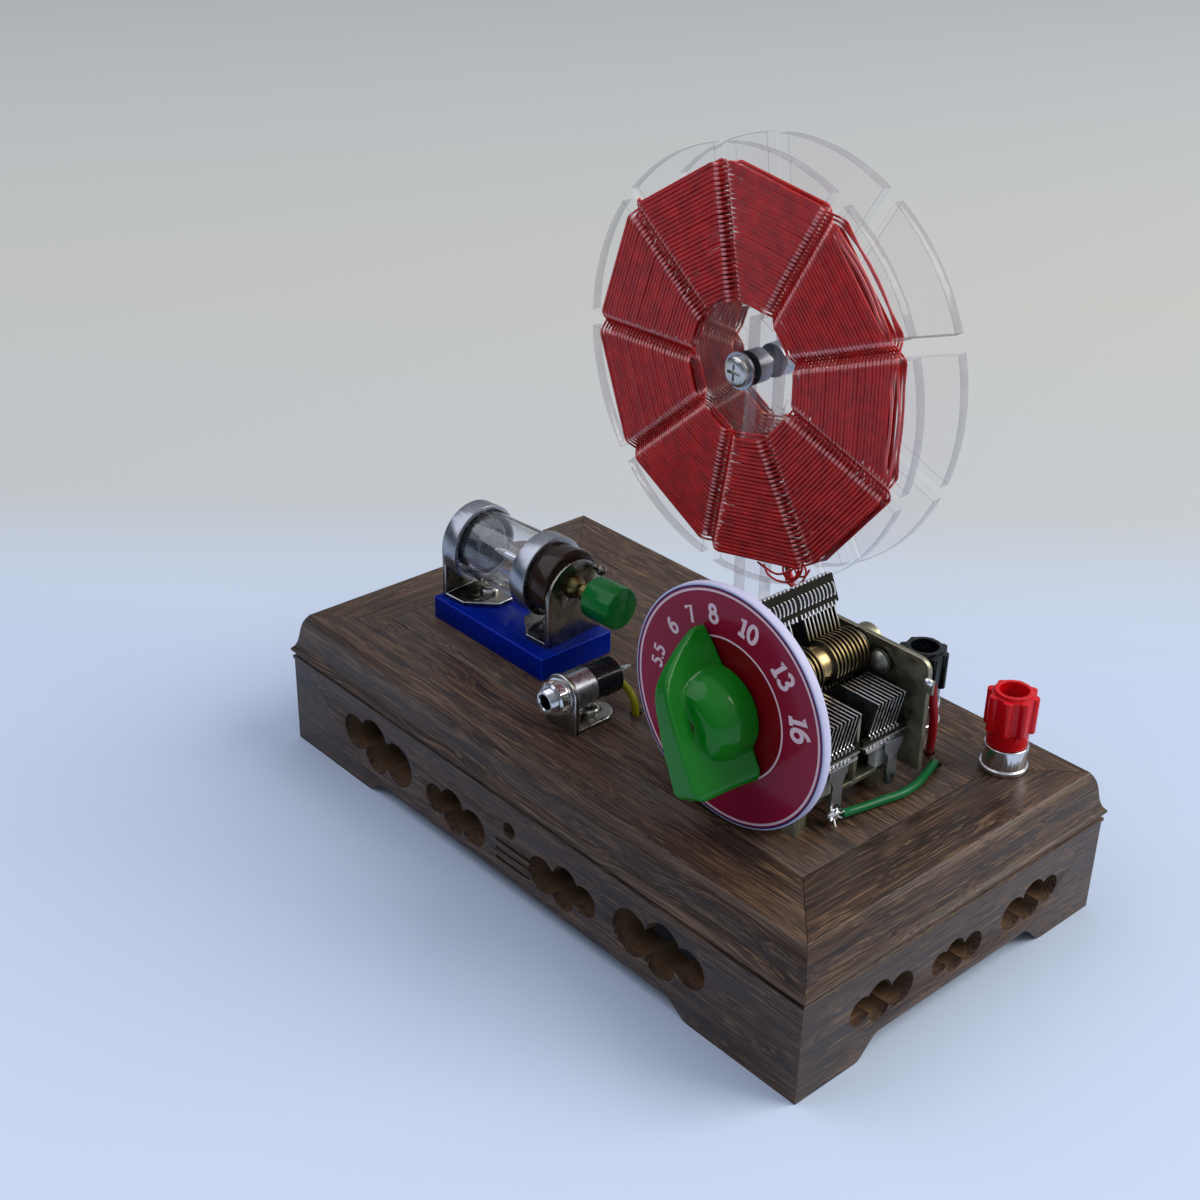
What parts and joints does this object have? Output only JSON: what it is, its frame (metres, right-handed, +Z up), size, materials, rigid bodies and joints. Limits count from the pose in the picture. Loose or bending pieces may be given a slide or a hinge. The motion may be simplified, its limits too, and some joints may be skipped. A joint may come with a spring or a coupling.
{
  "type": "crystal radio",
  "caption": "Crystal radio on a carved hardwood stand, with spiderweb coils on a clear post, air tuning capacitor with dial and pointer knob, glass-tube crystal detector and headphone jack.",
  "frame": {"origin": "middle of the stand's footprint, on the surface that its feet rest on", "axes": "+Z up, +X to the right along the stand, -Y towards the dial side"},
  "size_m": [0.18, 0.101, 0.165],
  "materials": {
    "dark_hardwood": "oiled, open grain",
    "clear_acrylic": "polished, clear",
    "nickel_plate": "bright nickel plate",
    "red_litz": "enamelled copper strands",
    "aluminium": "bare sheet",
    "passivated_steel": "zinc plated, olive passivated",
    "brass": "turned",
    "white_ceramic": "fired ceramic",
    "dial_laminate": "printed, gloss",
    "green_abs": "moulded, gloss",
    "blue_acrylic": "cast, gloss",
    "glass": "clear",
    "brown_phenolic": "turned",
    "galena": "cleaved mineral",
    "red_plastic": "moulded",
    "black_plastic": "moulded",
    "pvc_wire": "extruded"
  },
  "bodies": {
    "stand": {"centre_panel": "dark_hardwood", "rail_front": "dark_hardwood", "rail_back": "dark_hardwood", "rail_left": "dark_hardwood", "rail_right": "dark_hardwood", "apron_front": "dark_hardwood", "apron_back": "dark_hardwood", "apron_left": "dark_hardwood", "apron_right": "dark_hardwood", "coil_post": "clear_acrylic", "post_angle": "nickel_plate", "pan_screws": "nickel_plate", "former_front": "clear_acrylic", "former_rear": "clear_acrylic", "winding_front": "red_litz", "winding_rear": "red_litz", "coil_bolt": "nickel_plate", "coil_stack": "aluminium", "tuner_front_plate": "passivated_steel", "tuner_rear_plate": "passivated_steel", "tuner_floor": "passivated_steel", "tuner_shield": "passivated_steel", "tuner_spacers": "passivated_steel", "tuner_screws": "nickel_plate", "front_bush": "brass", "rear_bearing": "brass", "ground_spring": "aluminium", "stator_front": "aluminium", "stator_rear": "aluminium", "ceramic_blocks": "white_ceramic", "stator_lugs": "nickel_plate", "dial": "dial_laminate", "dial_nut": "brass", "detector_block": "blue_acrylic", "bracket_left": "nickel_plate", "bracket_right": "nickel_plate", "tube_cap_left": "nickel_plate", "tube_cap_right": "nickel_plate", "glass_tube": "glass", "insulator": "brown_phenolic", "crystal_cup": "brass", "crystal": "galena", "jack_body": "nickel_plate", "jack_bracket": "nickel_plate", "red_post": "brass", "black_post": "brass", "wiring": "pvc_wire"},
    "tuning_rotor": {"rotor_shaft": "brass", "rotor_front": "aluminium", "rotor_rear": "aluminium", "tuning_knob": "green_abs", "knob_grub_screw": "nickel_plate"},
    "whisker_swivel": {"swivel_ball": "brass"},
    "whisker_slide": {"whisker_collar": "brass"},
    "whisker": {"whisker_arm": "nickel_plate", "whisker_knob": "green_abs"},
    "red_lift": {"red_insert": "brass"},
    "red_turn": {"red_cap": "red_plastic"},
    "black_lift": {"black_insert": "brass"},
    "black_turn": {"black_cap": "black_plastic"}
  },
  "joints": [
    {"name": "tuning", "type": "hinge", "parent": "stand", "child": "tuning_rotor", "pos_m": [0.0458, 0, 0.0652], "axis": [0, 1, 0], "range_deg": [-66, 114]},
    {"name": "whisker_tilt", "type": "hinge", "parent": "stand", "child": "whisker_swivel", "pos_m": [-0.02664, -0.00912, 0.0569], "axis": [-0.0698, 0.9976, 0], "range_deg": [-8, 8]},
    {"name": "whisker_reach", "type": "slide", "parent": "whisker_swivel", "child": "whisker_slide", "axis": [0.9976, 0.0698, 0], "range_m": [-0.0002, 0.012]},
    {"name": "whisker_spin", "type": "hinge", "parent": "whisker_slide", "child": "whisker", "pos_m": [-0.02664, -0.00912, 0.0569], "axis": [0.9976, 0.0698, 0], "continuous": true},
    {"name": "red_rise", "type": "slide", "parent": "stand", "child": "red_lift", "axis": [0, 0, 1], "range_m": [0, 0.0042]},
    {"name": "red_unscrew", "type": "hinge", "parent": "red_lift", "child": "red_turn", "pos_m": [0.0718, 0.0338, 0.047], "axis": [0, 0, 1], "range_deg": [0, 2160]},
    {"name": "black_rise", "type": "slide", "parent": "stand", "child": "black_lift", "axis": [0, 0, 1], "range_m": [0, 0.0042]},
    {"name": "black_unscrew", "type": "hinge", "parent": "black_lift", "child": "black_turn", "pos_m": [0.0466, 0.0338, 0.047], "axis": [0, 0, 1], "range_deg": [0, 2160]}
  ],
  "couplings": [
    {"joint": "red_unscrew", "follows": "red_rise", "rad_per_m": 8975},
    {"joint": "black_unscrew", "follows": "black_rise", "rad_per_m": 8975}
  ]
}
